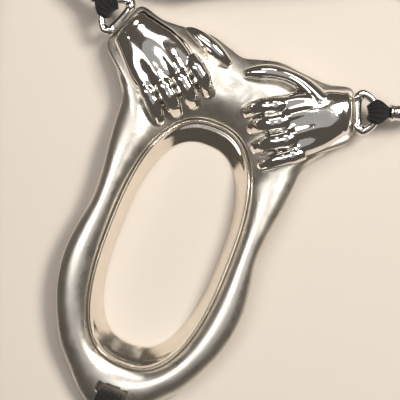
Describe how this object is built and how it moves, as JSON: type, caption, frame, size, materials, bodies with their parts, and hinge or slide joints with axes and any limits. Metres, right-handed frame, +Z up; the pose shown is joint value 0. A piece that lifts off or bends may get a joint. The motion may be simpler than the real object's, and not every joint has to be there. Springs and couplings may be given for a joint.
{
  "type": "body jewellery front piece",
  "caption": "Cast silver-coloured oval frame with two sculpted hands at its top corners, strap eyes, a tail slot and flat elastic straps that meet at a back ring.",
  "frame": {"origin": "middle of the metalwork's footprint, on the surface that it lies on", "axes": "+Z up from that surface, +Y from the tail slot towards the hands, +X to the right with the hands at the top"},
  "size_m": [0.1089, 0.1638, 0.0107],
  "materials": {
    "satin_silver": "satin, brushed along the rails",
    "bright_silver": "high polish",
    "black_elastic": "ribbed braid, matt"
  },
  "bodies": {
    "metalwork": {"frame_plate": "satin_silver", "opening_sleeve": "bright_silver", "left_hand": "bright_silver", "right_hand": "bright_silver", "left_eye": "bright_silver", "right_eye": "bright_silver", "left_back_ferrule": "bright_silver", "right_back_ferrule": "bright_silver", "rear_back_ferrule": "bright_silver", "left_wrist_peg": "bright_silver", "left_palm_peg": "bright_silver", "right_wrist_peg": "bright_silver", "right_palm_peg": "bright_silver", "rear_loop": "black_elastic", "left_back_loop": "black_elastic", "right_back_loop": "black_elastic", "rear_back_loop": "black_elastic", "left_strap": "black_elastic", "right_strap": "black_elastic", "rear_strap": "black_elastic", "strap_roll": "black_elastic"},
    "left_strap_end": {"left_loop": "black_elastic", "left_ferrule": "bright_silver"},
    "right_strap_end": {"right_loop": "black_elastic", "right_ferrule": "bright_silver"},
    "rear_strap_end": {"rear_ferrule": "bright_silver"},
    "back_ring_body": {"back_ring": "bright_silver"}
  },
  "joints": [
    {"name": "left_loop_swing", "type": "hinge", "parent": "metalwork", "child": "left_strap_end", "pos_m": [-0.0292, 0.04072, 0.0062], "axis": [0, 0, 1], "range_deg": [-12, 25], "deforming": ["left_strap"]},
    {"name": "right_loop_swing", "type": "hinge", "parent": "metalwork", "child": "right_strap_end", "pos_m": [0.0292, 0.04072, 0.0062], "axis": [0, 0, 1], "range_deg": [-25, 25], "deforming": ["right_strap"]},
    {"name": "rear_strap_lift", "type": "hinge", "parent": "metalwork", "child": "rear_strap_end", "pos_m": [0, -0.04642, 0.0034], "axis": [-1, 0, 0], "range_deg": [-8, 60], "deforming": ["rear_loop", "rear_strap"]},
    {"name": "back_ring_turn", "type": "hinge", "parent": "metalwork", "child": "back_ring_body", "pos_m": [-0.032, 0.07528, 0.0025], "axis": [0, 0, 1], "continuous": true}
  ]
}
